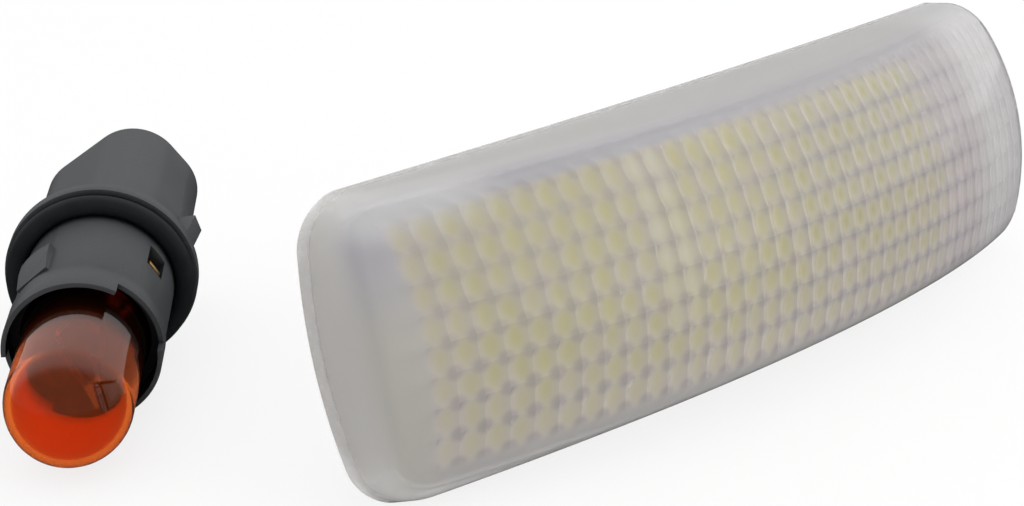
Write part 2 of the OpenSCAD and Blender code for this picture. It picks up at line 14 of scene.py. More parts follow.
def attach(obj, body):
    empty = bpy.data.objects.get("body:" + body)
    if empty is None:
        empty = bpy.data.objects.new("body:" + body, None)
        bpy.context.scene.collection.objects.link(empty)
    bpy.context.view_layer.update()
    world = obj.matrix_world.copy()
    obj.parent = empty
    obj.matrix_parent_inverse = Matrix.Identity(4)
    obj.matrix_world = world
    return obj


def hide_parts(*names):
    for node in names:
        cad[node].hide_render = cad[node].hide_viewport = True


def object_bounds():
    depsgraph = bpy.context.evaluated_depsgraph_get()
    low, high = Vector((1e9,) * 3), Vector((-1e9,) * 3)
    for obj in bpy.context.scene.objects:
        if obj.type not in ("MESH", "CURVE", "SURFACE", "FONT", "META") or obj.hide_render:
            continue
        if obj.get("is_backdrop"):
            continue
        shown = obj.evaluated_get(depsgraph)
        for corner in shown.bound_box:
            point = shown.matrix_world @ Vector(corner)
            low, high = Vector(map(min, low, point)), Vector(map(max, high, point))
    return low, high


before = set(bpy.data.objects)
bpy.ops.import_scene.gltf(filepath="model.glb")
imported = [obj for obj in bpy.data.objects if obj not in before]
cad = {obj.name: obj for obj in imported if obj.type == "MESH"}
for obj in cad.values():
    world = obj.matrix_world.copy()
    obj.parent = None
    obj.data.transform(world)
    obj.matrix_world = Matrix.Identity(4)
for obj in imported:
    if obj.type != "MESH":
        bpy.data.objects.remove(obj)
cad_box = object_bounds()
MM = 0.001
print("CAD nodes:", {name: len(piece.data.polygons) for name, piece in cad.items()})

# %% [markdown]
# The lamp leans back on its collar, and the holder lies turned on the floor. A piece is easier to
# model upright, in its own axes and in millimetres, so each group gets one matrix that carries it to
# its place. The values are those of the CAD part.
# %% Places of the lamp and of the holder
LENS_LENGTH, LENS_HEIGHT, RIM_BOW, CORNER = 84.4, 24.5, 2.5, 3.8
COLLAR_LENGTH, COLLAR_RADIUS = 15.5, 8.15
FLANGE_RADIUS, BAND_RADIUS, NECK_LENGTH = 8.4, 6.6, 14.0
LAMP_SPOT, HOLDER_SPOT = (6.5, -22.3), (-30.2, 17.95)
HOLDER_TURN, BULB_TURN = math.radians(-43.4), math.radians(31)
END_X, MID_Z = LENS_LENGTH / 2, LENS_HEIGHT / 2
RIM_CURVE = (END_X ** 2 / RIM_BOW + RIM_BOW) / 2


def rim_y(x):
    """Place of the rim behind the lamp: an arc that follows the wing."""
    return RIM_CURVE - RIM_BOW - math.sqrt(RIM_CURVE ** 2 - x ** 2)


FOOT_Y = rim_y(END_X - CORNER)
LEAN = math.atan((MID_Z - COLLAR_RADIUS) / (COLLAR_LENGTH - FOOT_Y))
DIP = math.atan((FLANGE_RADIUS - BAND_RADIUS) / NECK_LENGTH)
to_metres = Matrix.Scale(MM, 4)
lamp_place = (to_metres @ Matrix.Translation((*LAMP_SPOT, 0)) @ Matrix.Rotation(-LEAN, 4, "X")
              @ Matrix.Translation((0, -FOOT_Y, 0)))
holder_place = (to_metres @ Matrix.Translation((*HOLDER_SPOT, FLANGE_RADIUS * math.cos(DIP)))
                @ Matrix.Rotation(HOLDER_TURN, 4, "Z") @ Matrix.Rotation(math.radians(90) + DIP, 4, "X"))
bulb_place = holder_place @ Matrix.Rotation(BULB_TURN, 4, "Z")
print("lamp leans", round(math.degrees(LEAN), 2), "degrees, holder dips", round(math.degrees(DIP), 2))

# %% [markdown]
# Colours are written as the sRGB hex values that a paint program shows, and shaders want linear
# numbers, so one function turns them. A second one adds a shader node with its settings and links,
# and a third starts a material with the piece's own coordinates in millimetres, so that the scale
# of every pattern below is one over a real size.
# %% Helpers for materials
MATH, VECTOR, SPAN, MIX = "ShaderNodeMath", "ShaderNodeVectorMath", "ShaderNodeMapRange", "ShaderNodeMix"
NOISE, CELLS, BUMP, MAPPING = ("ShaderNodeTexNoise", "ShaderNodeTexVoronoi", "ShaderNodeBump",
                               "ShaderNodeMapping")


def paint(code):
    """Linear colour from an sRGB hex code."""
    parts = [int(code[k:k + 2], 16) / 255 for k in (0, 2, 4)]
    return [p / 12.92 if p <= 0.04045 else ((p + 0.055) / 1.055) ** 2.4 for p in parts] + [1.0]


def add(tree, kind, inputs=None, **settings):
    """Adds a node. An input is a value, another node, or one output of another node."""
    made = tree.nodes.new(kind)
    for name, value in settings.items():
        setattr(made, name, value)
    for name, value in (inputs or {}).items():
        if isinstance(value, bpy.types.Node):
            value = next(output for output in value.outputs if output.enabled)
        if isinstance(value, bpy.types.NodeSocket):
            tree.links.new(value, made.inputs[name])
        else:
            made.inputs[name].default_value = value
    return made


def start_material(name, **values):
    """A material with its Principled shader set, and the place on the piece in millimetres."""
    material = bpy.data.materials.new(name)
    material.use_nodes = True
    tree = material.node_tree
    skin = tree.nodes["Principled BSDF"]
    for socket, value in values.items():
        skin.inputs[socket.replace("_", " ")].default_value = value
    place = add(tree, "ShaderNodeTexCoord").outputs["Object"]
    in_mm = add(tree, VECTOR, {0: place, 1: (1 / MM, 1 / MM, 1 / MM)}, operation="MULTIPLY")
    return material, tree, skin, in_mm.outputs[0]


WHITE = paint("FFFFFF")
print("amber in linear:", [round(v, 3) for v in paint("F0742C")])

# %% [markdown]
# The camera comes first, so that every later choice is seen as the photograph shows it: from the
# lamp's left end, a little above, with a long lens. It stands where a fit of the lamp's outline
# puts it, and the focal length follows from the same fit.
# %% Camera
IMAGE_WIDTH, FOCAL_PIXELS = 1024, 2219.8
SENSOR_WIDTH = 36
CAMERA_SPOT = Vector((-135.49, -136.76, 74.27))
YAW, PITCH, ROLL = (math.radians(angle) for angle in (45.36, 19.46, -1.64))
ahead = Vector((math.sin(YAW) * math.cos(PITCH), math.cos(YAW) * math.cos(PITCH), -math.sin(PITCH)))
level = Vector((math.cos(YAW), -math.sin(YAW), 0))
upward = level.cross(ahead)
right = math.cos(ROLL) * level + math.sin(ROLL) * upward
top = -math.sin(ROLL) * level + math.cos(ROLL) * upward
bpy.ops.object.camera_add()
camera = bpy.context.object
camera.name = "photo_camera"
camera.matrix_world = (Matrix.Translation(CAMERA_SPOT * MM)
                       @ Matrix((right, top, -ahead)).transposed().to_4x4())
camera.data.sensor_width = SENSOR_WIDTH
camera.data.lens = FOCAL_PIXELS * SENSOR_WIDTH / IMAGE_WIDTH
camera.data.clip_start = 0.01
bpy.context.scene.camera = camera
print("focal length", round(camera.data.lens, 1), "mm")

# %% [markdown]
# The photograph is a cut-out on white with soft shadows only. So the floor is nearly white card, and
# for the camera and for refracted rays most of it is plain white, which keeps a soft shadow and stays
# pale. Mirrored rays find a dim floor instead: the lower half of the bulb then stays deep in colour.
# The world needs the same two kinds of ray, so one function tells them apart.
# %% Pale floor
FLOOR_SIZE, PLAIN_WHITE, MIRRORED_FLOOR = 1.2, 0.8, 0.04


def ray_kinds(tree):
    """Shares for rays that the camera sends, also through glass, and for mirrored rays."""
    path = add(tree, "ShaderNodeLightPath")
    direct, refracted, glossy = (path.outputs[f"Is {kind} Ray"]
                                 for kind in ("Camera", "Transmission", "Glossy"))
    seen = add(tree, MATH, {0: direct, 1: refracted}, operation="MAXIMUM")
    # A refracted ray counts as glossy too, so only what is left without refraction is mirrored
    mirrored = add(tree, MATH, {0: glossy, 1: refracted}, operation="SUBTRACT", use_clamp=True)
    return seen, mirrored


bpy.context.scene.view_settings.view_transform = "Standard"
bpy.ops.mesh.primitive_plane_add(size=FLOOR_SIZE, location=(0, 0, 0))
floor = bpy.context.object
floor.name = "floor"
material, tree, skin, spot = start_material("studio card, matt", Roughness=0.9,
                                            Base_Color=paint("F2F2F1"))
seen, mirrored = ray_kinds(tree)
share = add(tree, MATH, {0: seen, 1: PLAIN_WHITE}, operation="MULTIPLY")
plain = add(tree, "ShaderNodeEmission", {"Color": WHITE, "Strength": 1.0})
pale = add(tree, "ShaderNodeMixShader", {0: share, 1: skin, 2: plain})
dim = add(tree, "ShaderNodeEmission", {"Color": WHITE, "Strength": MIRRORED_FLOOR})
both = add(tree, "ShaderNodeMixShader", {0: mirrored, 1: pale, 2: dim})
tree.links.new(both.outputs[0], tree.nodes["Material Output"].inputs["Surface"])
floor.data.materials.append(material)
floor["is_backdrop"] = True
print("floor:", FLOOR_SIZE, "m across")

# %% [markdown]
# An even world gives most of the light, and it is plain white where the camera sees it. What glass
# and plastic mirror is another matter: in the photograph their sheen has an edge, which an even white
# would not give. So mirrored rays find a bright backdrop only beyond the lamp, a little brighter
# towards its top, and a dark room everywhere else.
# %% World
LIGHT_LEVEL = 0.96
BACKDROP_WAY, BACKDROP_EDGE, BACKDROP_RISE = (0.66, 0.66, 0.35), (0.12, 0.52), (0.1, 0.6)
DARK_ROOM, BACKDROP_FOOT, BACKDROP_TOP = 0.14, 0.5, 0.8
world = bpy.data.worlds.new("studio")
bpy.context.scene.world = world
world.use_nodes = True
tree = world.node_tree
seen, mirrored = ray_kinds(tree)
even = add(tree, SPAN, {0: seen, 3: LIGHT_LEVEL, 4: 1.0})
way = add(tree, "ShaderNodeTexCoord").outputs["Generated"]
rise = add(tree, "ShaderNodeSeparateXYZ", {0: way}).outputs["Z"]
backdrop = add(tree, SPAN, {0: rise, 1: BACKDROP_RISE[0], 2: BACKDROP_RISE[1], 3: BACKDROP_FOOT,
                            4: BACKDROP_TOP})
beyond = add(tree, VECTOR, {0: way, 1: BACKDROP_WAY}, operation="DOT_PRODUCT")
room = add(tree, SPAN, {0: beyond, 1: BACKDROP_EDGE[0], 2: BACKDROP_EDGE[1], 3: DARK_ROOM, 4: backdrop},
           interpolation_type="SMOOTHSTEP")
strength = add(tree, MIX, {0: mirrored, 2: even, 3: room})
tree.nodes["Background"].inputs["Color"].default_value = WHITE
tree.links.new(strength.outputs[0], tree.nodes["Background"].inputs["Strength"])
print("world:", world.name, "with", len(tree.nodes), "nodes")

# %% [markdown]
# Two large soft lamps give the light a direction: a weak one overhead, and a stronger one in front
# on the right, which lights the cover and the side of the holder. No piece mirrors them, because the
# photograph shows no bright square in the glass.
# %% Soft lamps
AIM = Vector((0, 0, 10))


def soft_lamp(name, place, size, watts):
    """A square area lamp at a place in millimetres, turned to the part."""
    bpy.ops.object.light_add(type="AREA", location=Vector(place) * MM)
    lamp = bpy.context.object
    lamp.name = name
    lamp.data.size = size * MM
    lamp.data.energy = watts
    lamp.rotation_euler = (AIM - Vector(place)).to_track_quat("-Z", "Y").to_euler()
    lamp.visible_glossy = False


soft_lamp("overhead", (-150, 50, 900), 1000, 0.5)
soft_lamp("front_right", (400, -620, 300), 700, 3.4)

# %% [markdown]
# The cover is clear acrylic (PMMA), moulded in one piece and polished outside. From outside one
# looks through its smooth skin at the inner face, where rows of small pillows spread the bulb's light.
# Two finishes on one mesh show that best: a clear skin that refracts and shines, and an inner face
# that catches the light. The skin has acrylic's IOR of 1.49, and it is rougher than real polish, which
# softens the pillows behind it as the photograph does. Faint waves of 8 mm are the mould's own.
# %% Clear acrylic skin
WAVE_SIZE = 8.3
clear_acrylic, tree, skin, spot = start_material(
    "acrylic, clear, injection moulded and polished", Base_Color=paint("FDFDFD"), Roughness=0.12,
    IOR=1.49, Transmission_Weight=1.0)
waves = add(tree, NOISE, {"Vector": spot, "Scale": 1 / WAVE_SIZE, "Detail": 1.0})
bump = add(tree, BUMP, {"Height": waves.outputs["Fac"], "Strength": 0.06, "Distance": 0.001})
tree.links.new(bump.outputs[0], skin.inputs["Normal"])
print("skin:", clear_acrylic.name)

# %% [markdown]
# The inner face has its own finish. Each pillow gathers an olive-yellow oval from the housing behind
# it, in a paler frame, and a lilac dot shows where four pillows meet, most of all in the lower rows.
# The photograph shows them at fixed places in each pillow, so they are drawn by counting pillows: the
# place on the face divided by a pillow's width and height, of which the fraction is the place in one
# pillow. First the leaning lamp is turned upright by a Mapping node, with its origin in the middle of
# the lens.
# %% Place in one pillow
PILLOW_COLUMNS, PILLOW_ROWS, PILLOW_WIDTH, PILLOW_HEIGHT, PILLOW_RISE = 39, 8, 2.0, 2.3, 0.4
pillow_acrylic, tree, skin, spot = start_material(
    "acrylic, clear, inner face with pillow optics", Roughness=0.32, IOR=1.49, Transmission_Weight=0.2)
lens_middle = lamp_place @ Vector((0, 0, MID_Z)) / MM
upright = add(tree, MAPPING, {"Vector": spot, "Location": lens_middle, "Rotation": (-LEAN, 0, 0)},
              vector_type="TEXTURE")
along_x, along_y, along_z = add(tree, "ShaderNodeSeparateXYZ", {0: upright}).outputs
fractions = []
for along, size, count in ((along_x, PILLOW_WIDTH, PILLOW_COLUMNS),
                           (along_z, PILLOW_HEIGHT, PILLOW_ROWS)):
    pillows = add(tree, MATH, {0: along, 1: 1 / size, 2: count / 2}, operation="MULTIPLY_ADD")
    fractions.append(add(tree, MATH, {0: pillows}, operation="FRACT"))
in_pillow = add(tree, "ShaderNodeCombineXYZ", {0: fractions[0], 1: fractions[1]})
print("pillows:", PILLOW_COLUMNS * PILLOW_ROWS, "around", [round(v, 1) for v in lens_middle])

# %% [markdown]
# The oval fills most of a pillow, a little above its middle, and the dot round a corner is wider
# than it is tall. Both come from a distance that is stretched to their form. In the right half of
# the lens the ovals are smaller, so their distance grows there.
# %% Distances in one pillow
PILLOW_MIDDLE, OVAL_MIDDLE = (0.5, 0.5, 0), (0.5, 0.52, 0)
OVAL_FORM, DOT_FORM, RIGHT_SHRINK = (2.6, 2.0, 0), (2.3, 3.2, 0), 0.22
right_half = add(tree, SPAN, {0: along_x, 1: -12, 2: 6}, interpolation_type="SMOOTHSTEP")
to_oval = add(tree, VECTOR, {0: in_pillow, 1: OVAL_MIDDLE}, operation="SUBTRACT")
to_corner = add(tree, VECTOR, {0: in_pillow, 1: PILLOW_MIDDLE}, operation="SUBTRACT")
to_corner = add(tree, VECTOR, {0: to_corner}, operation="ABSOLUTE")
to_corner = add(tree, VECTOR, {0: PILLOW_MIDDLE, 1: to_corner}, operation="SUBTRACT")
lengths = []
for offset, form in ((to_oval, OVAL_FORM), (to_corner, DOT_FORM)):
    stretched = add(tree, VECTOR, {0: offset, 1: form}, operation="MULTIPLY")
    lengths.append(add(tree, VECTOR, {0: stretched}, operation="LENGTH"))
from_oval = add(tree, MATH, {0: right_half, 1: RIGHT_SHRINK, 2: lengths[0]}, operation="MULTIPLY_ADD")
from_corner = lengths[1]
print("oval half width:", round(PILLOW_WIDTH / OVAL_FORM[0], 2), "mm")

# %% [markdown]
# Other shades follow the whole face: the pillowed field's border, two columns of painted glint, the
# rows and the walls. A point belongs to a wall when it lies deeper behind the bowed face than the
# pillows do, and the face is the same sum of two parabolas as in the CAD part.
# %% Distances over the face
CORNER_DEPTH, FACE_BOW, FACE_ARCH, EDGE, WALL = 3.6, 8.9, 3.5, 2.1, 1.5
# The middle of the two columns of painted glint, in millimetres from the middle of the lens
GLINT_COLUMNS_X, PATCH_SIZE = -17, 10 / 3
offsets = []
for along, middle in ((along_x, 0), (along_z, 0), (along_x, GLINT_COLUMNS_X), (fractions[1], 0.5)):
    offset = add(tree, MATH, {0: along, 1: middle}, operation="SUBTRACT")
    offsets.append(add(tree, MATH, {0: offset}, operation="ABSOLUTE"))
to_end, to_edge, from_painted_glint, from_row_middle = offsets
squares = add(tree, VECTOR, {0: upright, 1: upright}, operation="MULTIPLY")
bows = (-FACE_BOW / END_X ** 2, 0, -FACE_ARCH / MID_Z ** 2)
behind = add(tree, VECTOR, {0: squares, 1: bows}, operation="DOT_PRODUCT")
behind = add(tree, MATH, {0: behind, 1: along_y}, operation="ADD")
behind = add(tree, MATH, {0: behind, 1: CORNER_DEPTH + FACE_BOW + FACE_ARCH}, operation="ADD")
patches = add(tree, NOISE, {"Vector": upright, "Scale": 1 / PATCH_SIZE, "Detail": 2.0}).outputs["Fac"]
print("depth of the face:", CORNER_DEPTH + FACE_BOW + FACE_ARCH, "mm")

# %% [markdown]
# Each distance becomes a share from 0 to 1 by a soft ramp. A table holds them, one line a ramp: what
# it follows, where it has its least and its full share, and those two shares. A place on the lens is
# in millimetres from its middle. The contrast is low, as in the photograph: one sees soft patches,
# not print.
# %% Table of soft ramps
ramps = {
    "oval": (from_oval, 1.3, 0.1, 0, 1),
    "dot": (from_corner, 1.1, 0.4, 0, 1),
    "row_line": (from_row_middle, 0.26, 0.48, 0, 0.34),
    "between_ends": (to_end, 39.4, 38, 0, 1),
    "between_edges": (to_edge, 9.6, 8.9, 0, 1),
    # Painted glint: two bright columns of ovals, in the upper rows
    "painted_glint_columns": (from_painted_glint, 2.6, 0.6, 0, 1),
    "painted_glint_rows": (along_z, -6, -1, 0, 0.5),
    "dotted_rows": (along_z, 7, -8, 0.18, 0.42),
    # Painted shade on the upper rows of the right half
    "painted_shade_rows": (along_z, -3, 8, 0, 0.5),
    "fade_right": (along_x, 22, 14, 0, 1),
    "fade_left": (along_x, -40, -34, 0.35, 1),
    "fade_low": (along_z, -10, -3, 0.45, 1),
    "fade_lines": (along_x, 30, 15, 0.3, 1),
    "mottling": (patches, 0.3, 0.6, 0.6, 1),
    # Painted light: the left end is drawn lighter
    "painted_light_left_end": (along_x, -36, -41, 0, 1),
    # Painted shade: the upper part is drawn darker and bluer
    "painted_shade_upper": (along_z, 0, 8, 0, 1),
    # Painted light: the right side and its end are drawn lighter, the end as a plain glow
    "painted_light_right": (along_x, 20, 38, 0, 1),
    "painted_glow_right_end": (along_x, 24, 33, 0, 0.85),
    # Painted highlight in the crease at the upper left edge
    "left_part": (along_x, -27, -34, 0, 0.75),
    "crease_height": (along_z, 7.4, 9.6, 0, 1),
    "crease_end": (along_x, -42.5, -40, 0, 1),
    "walls": (behind, WALL + 0.1, WALL + 3, 0, 1),
}
shares = {"right_half": right_half, "ground_strength": 0.7, "oval_strength": 0.85}
for name, (along, least_at, full_at, least, full) in ramps.items():
    shares[name] = add(tree, SPAN, {0: along, 1: least_at, 2: full_at, 3: least, 4: full},
                       interpolation_type="SMOOTHSTEP")
print("soft ramps:", len(ramps))

# %% [markdown]
# Some shades need several conditions at once, and a product of shares gives that: the housing's olive
# shade stays inside the field, fades towards the ends and the low rows, and is a little mottled. The
# upper part of the right half faces the light, so painted shade holds it back to a darker tone, and a
# painted highlight lies in a crease along the upper edge at the left end.
# %% Products of shares
products = {
    "field": ("between_ends", "between_edges"),
    "olive": ("field", "fade_right", "fade_left", "fade_low", "mottling"),
    "olive_ground": ("olive", "ground_strength"),
    "olive_ovals": ("olive", "oval", "oval_strength"),
    "row_lines": ("row_line", "right_half", "field", "fade_lines"),
    # Painted glint in the ovals of two columns
    "painted_glint_ovals": ("painted_glint_columns", "painted_glint_rows", "oval", "field"),
    "lilac_dots": ("dotted_rows", "dot", "field"),
    # Painted shade on the upper right half, which faces the light
    "painted_shade_right_half": ("painted_shade_rows", "right_half"),
    # Painted highlight along the crease
    "painted_crease_highlight": ("left_part", "crease_height", "crease_end"),
}
for name, (first, *others) in products.items():
    made = shares[first]
    for other in others:
        made = add(tree, MATH, {0: made, 1: shares[other]}, operation="MULTIPLY")
    shares[name] = made
print("products:", list(products))

# %% [markdown]
# The colours are laid over each other like thin coats of paint, each one covering those before it by
# its share. The ovals are pale at the left and deeper in colour in the right half. Some coats are
# painted light and shade: the lighter left end, right side and right end, the darker upper part and
# upper right half, the glint in two columns of ovals and the highlight in the crease.
# %% Coats of colour on the inner face
oval_tint = add(tree, MIX, {0: right_half, 6: paint("DBD49C"), 7: paint("C6C07E")}, data_type="RGBA")
# Painted light and shade among the coats: lighter ends and right side, darker upper part, glint, crease
# highlight
coats = {"painted_light_left_end": paint("D6D3CC"), "painted_shade_upper": paint("CAC8CF"), "field": paint("DED5D5"),
         "painted_light_right": paint("DFDBDC"), "painted_shade_right_half": paint("C9C4C6"), "olive_ground": paint("DFD9BC"),
         "olive_ovals": oval_tint, "row_lines": paint("B3ADBA"), "painted_glint_ovals": paint("F2F0E6"),
         "lilac_dots": paint("A69CAA"), "painted_crease_highlight": paint("F2F1F3"), "walls": paint("E7E4E1"),
         "painted_glow_right_end": paint("F6F4F4")}
all_over = add(tree, MIX, {0: patches, 6: paint("D2CFD0"), 7: paint("CECBC8")}, data_type="RGBA")
for name, tint in coats.items():
    all_over = add(tree, MIX, {0: shares[name], 6: all_over, 7: tint}, data_type="RGBA")
tree.links.new(all_over.outputs[2], skin.inputs["Base Color"])
print("inner face:", pillow_acrylic.name, "with", len(tree.nodes), "shader nodes")

# %% [markdown]
# The cover's form is one closed shell: over the bowed face, round its soft edge, down the drafted wall
# to the rim, and back inside to the pillows. Real moulds need that draft, a slope of some degrees, or
# the part would not come out. Seen from the front, the outline is a rectangle with round corners and
# bulging ends. Each function below gives a point of that form, for a point u, v of a square whose
# sides run from -1 to 1.
# %% Form of the cover
END_BULGE, BULGE_POWER, DRAFT, DRAFT_POWER, LEAST_CORNER = 1.5, 4, math.radians(5.5), 6, 0.5


def face_y(x, z):
    """Depth of the bowed and arched face, with z counted from mid height."""
    return -(CORNER_DEPTH + FACE_BOW * (1 - (x / END_X) ** 2) + FACE_ARCH * (1 - (z / MID_Z) ** 2))


def outline(u, v, inset):
    """A point of the lens's outline at an inset, for a point of the square's edge."""
    half_x, half_z = END_X - inset, MID_Z - inset
    corner = max(CORNER - inset, LEAST_CORNER)
    x, z = u * half_x, v * half_z
    past_x, past_z = abs(x) - half_x + corner, abs(z) - half_z + corner
    if min(past_x, past_z) > 0:
        reach = math.hypot(past_x, past_z)
        x = math.copysign(half_x - corner + corner * past_x / reach, x)
        z = math.copysign(half_z - corner + corner * past_z / reach, z)
    bulge = END_BULGE * (1 - (z / half_z) ** 2) * (x / half_x) ** BULGE_POWER
    return x + math.copysign(bulge, x), z


def on_wall(u, v, inset, back):
    """A point at an inset, some way back from the face, pulled in as the walls slope."""
    x, z = outline(u, v, inset)
    y = face_y(x, z) + back
    pull = math.tan(DRAFT) * abs(y)
    x -= math.copysign(pull * (abs(x) / END_X) ** DRAFT_POWER, x)
    z -= math.copysign(pull * (abs(z) / MID_Z) ** DRAFT_POWER, z)
    return Vector((x, y, z + MID_Z))


def on_rim(u, v, inset):
    """A point of the rim, which follows the wing."""
    x, z = outline(u, v, inset)
    return Vector((x, rim_y(x), z + MID_Z))


print("top of the wall:", [round(c, 2) for c in on_wall(0, 1, 0, EDGE)])

# %% [markdown]
# A section through the cover, from the face's border to the rim and back inside, is a row of steps,
# and each step is one ring round the whole cover. A ring is kept as a function of u and v, so that a
# straight wall can be laid between two rings by mixing their points.
# %% Rings round the section
EDGE_TURNS, INNER_TURNS = (90, 75, 60, 45, 30, 15, 0), (0, 30, 60, 90)
WALL_STEPS, RIM_ROUND = 5, 0.25


def edge_ring(turn, start, radius):
    """Ring of a rounded edge: at 90 degrees the face ends, and at 0 the wall begins."""
    inset = start + radius * (1 - math.cos(math.radians(turn)))
    back = start + radius * (1 - math.sin(math.radians(turn)))
    return lambda u, v: on_wall(u, v, inset, back)


def rim_ring(inset):
    """Ring on the rim, at an inset from the outline."""
    return lambda u, v: on_rim(u, v, inset)


def wall_between(first, last):
    """Rings of a straight wall between two others."""
    parts = [step / WALL_STEPS for step in range(1, WALL_STEPS)]
    return [lambda u, v, part=part: first(u, v).lerp(last(u, v), part) for part in parts]


outer_edge = [edge_ring(turn, 0, EDGE) for turn in EDGE_TURNS]
rim = [rim_ring(inset) for inset in (0, RIM_ROUND, WALL - RIM_ROUND, WALL)]
inner_edge = [edge_ring(turn, WALL, EDGE - WALL) for turn in INNER_TURNS]
outside = outer_edge + wall_between(outer_edge[-1], rim[0]) + rim
rings = outside + wall_between(rim[-1], inner_edge[0]) + inner_edge
print("rings:", len(outside), "outside and", len(rings) - len(outside), "inside")

# %% [markdown]
# Lofting thousands of points by hand would be slow, so the mesh is first made as a plain box of
# squares: a grid for the face, then its border extruded ring by ring, then a second grid that closes
# it. The height of a point counts the rings.
# %% Plain box of squares
STEPS = 6
grid = {"x_subdivisions": PILLOW_COLUMNS * STEPS, "y_subdivisions": PILLOW_ROWS * STEPS, "size": 2}
bpy.ops.object.select_all(action="DESELECT")
bpy.ops.mesh.primitive_grid_add(**grid)
cover = bpy.context.object
cover.name = "clear_cover"
bpy.ops.object.mode_set(mode="EDIT")
bpy.ops.mesh.select_all(action="SELECT")
bpy.ops.mesh.region_to_loop()
for step in range(len(rings) + 1):
    bpy.ops.mesh.extrude_edges_move(TRANSFORM_OT_translate={"value": (0, 0, 1)})
bpy.ops.mesh.select_all(action="DESELECT")
bpy.ops.mesh.primitive_grid_add(**grid, location=(0, 0, len(rings) + 1))
bpy.ops.mesh.select_all(action="SELECT")
bpy.ops.mesh.remove_doubles(threshold=0.001)
bpy.ops.object.mode_set(mode="OBJECT")
cover.data.materials.append(clear_acrylic)
cover.data.materials.append(pillow_acrylic)
for polygon in cover.data.polygons:
    # The inner face begins at the rim's last ring, on its way back to the pillows
    if min(round(cover.data.vertices[k].co.z) for k in polygon.vertices) >= len(outside):
        polygon.material_index = 1
print("plain box:", len(cover.data.vertices), "points")

# %% [markdown]
# Now one function moves every point of the box to its real place: on a ring, on the smooth face, or
# on the pillows behind it, each of which is a low crown over its rectangle. Another function serves
# every new piece below: it carries the piece to its place, and shades smooth what meets at a small
# angle.
# %% The clear cover
def in_field(u, v):
    """A point of the pillowed field, and how far its pillow stands up there."""
    x, z = u * PILLOW_COLUMNS * PILLOW_WIDTH / 2, v * PILLOW_ROWS * PILLOW_HEIGHT / 2
    counts = ((u + 1) / 2 * PILLOW_COLUMNS, (v + 1) / 2 * PILLOW_ROWS)
    crown = [1 - (2 * (count - math.floor(count)) - 1) ** 2 for count in counts]
    return x, z, PILLOW_RISE * sum(crown) / 2


def lens_point(u, v, height):
    """Place of a point of the plain box, whose height counts the rings."""
    step = round(height)
    if 1 <= step <= len(rings):
        return rings[step - 1](u, v)
    x, z, rise = in_field(u, v)
    return Vector((x, face_y(x, z) + (WALL + rise if step else 0), z + MID_Z))


def settle(piece, place, angle):
    """Carries a piece from its own axes to its place, and smooths faces that meet below an angle."""
    bpy.ops.object.select_all(action="DESELECT")
    piece.select_set(True)
    bpy.context.view_layer.objects.active = piece
    piece.matrix_world = place
    bpy.ops.object.transform_apply(location=True, rotation=True, scale=True)
    bpy.ops.object.shade_smooth_by_angle(angle=math.radians(angle))


for vertex in cover.data.vertices:
    vertex.co = lens_point(*vertex.co)
bpy.ops.object.mode_set(mode="EDIT")
bpy.ops.mesh.select_all(action="SELECT")
bpy.ops.mesh.normals_make_consistent(inside=False)
bpy.ops.object.mode_set(mode="OBJECT")
settle(cover, lamp_place, angle=28)
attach(cover, "root")
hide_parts("lens_cover")
print("cover:", len(cover.data.polygons), "faces")

# %% [markdown]
# The housing is white ABS. A moulding is never quite one colour or quite flat: it has a faint cloudy
# tone from the resin's flow and a fine sparked grain from the mould, which breaks up its shine. The
# grain is a third of a millimetre, coarser than the real one so that it shows.
# %% White ABS
FLOW_SIZE, GRAIN_SIZE = 6.7, 1 / 3
white_abs, tree, skin, spot = start_material("ABS, white, injection moulded", Roughness=0.42, IOR=1.53)
flow = add(tree, NOISE, {"Vector": spot, "Scale": 1 / FLOW_SIZE, "Detail": 3.0})
tone = add(tree, MIX, {0: flow, 6: paint("E9E7DF"), 7: paint("DFDDD3")}, data_type="RGBA")
tree.links.new(tone.outputs[2], skin.inputs["Base Color"])
grain = add(tree, NOISE, {"Vector": spot, "Scale": 1 / GRAIN_SIZE, "Detail": 2.0})
bump = add(tree, BUMP, {"Height": grain, "Strength": 0.25, "Distance": 0.0001})
tree.links.new(bump.outputs[0], skin.inputs["Normal"])
print("housing:", white_abs.name)

# %% [markdown]
# The holder is black glass-filled nylon (PA66). Its glass fibres make a satin grey-black skin, a
# little lighter and duller where the flow was fast, with a fine grain, drawn coarser than the real
# one. The hollows get painted shade: the base colour goes down towards black where other surfaces
# within 3 mm hide the sky.
# %% Black nylon
FLOW_SIZE, GRAIN_SIZE, HOLLOW_SIZE = 5, 0.25, 3
OPEN_FROM, HIDDEN_TO = 0.85, 0.35
black_nylon, tree, skin, spot = start_material("nylon, glass-filled, black, injection moulded", IOR=1.53,
                                               Specular_IOR_Level=0.25)
flow = add(tree, NOISE, {"Vector": spot, "Scale": 1 / FLOW_SIZE, "Detail": 4.0}).outputs["Fac"]
tone = add(tree, MIX, {0: flow, 6: paint("3E4042"), 7: paint("4C4E51")}, data_type="RGBA")
sky = add(tree, "ShaderNodeAmbientOcclusion", {"Distance": HOLLOW_SIZE * MM}, samples=8).outputs["AO"]
# Painted shade: the base colour goes towards black in the hollows
painted_hollow_shade = add(tree, SPAN, {0: sky, 1: OPEN_FROM, 2: HIDDEN_TO, 4: 0.85})
tone = add(tree, MIX, {0: painted_hollow_shade, 6: tone, 7: paint("080808")}, data_type="RGBA")
tree.links.new(tone.outputs[2], skin.inputs["Base Color"])
shine = add(tree, SPAN, {0: flow, 3: 0.36, 4: 0.5})
tree.links.new(shine.outputs[0], skin.inputs["Roughness"])
grain = add(tree, NOISE, {"Vector": spot, "Scale": 1 / GRAIN_SIZE, "Detail": 2.0})
bump = add(tree, BUMP, {"Height": grain, "Strength": 0.3, "Distance": 0.00008})
tree.links.new(bump.outputs[0], skin.inputs["Normal"])
print("holder:", black_nylon.name)

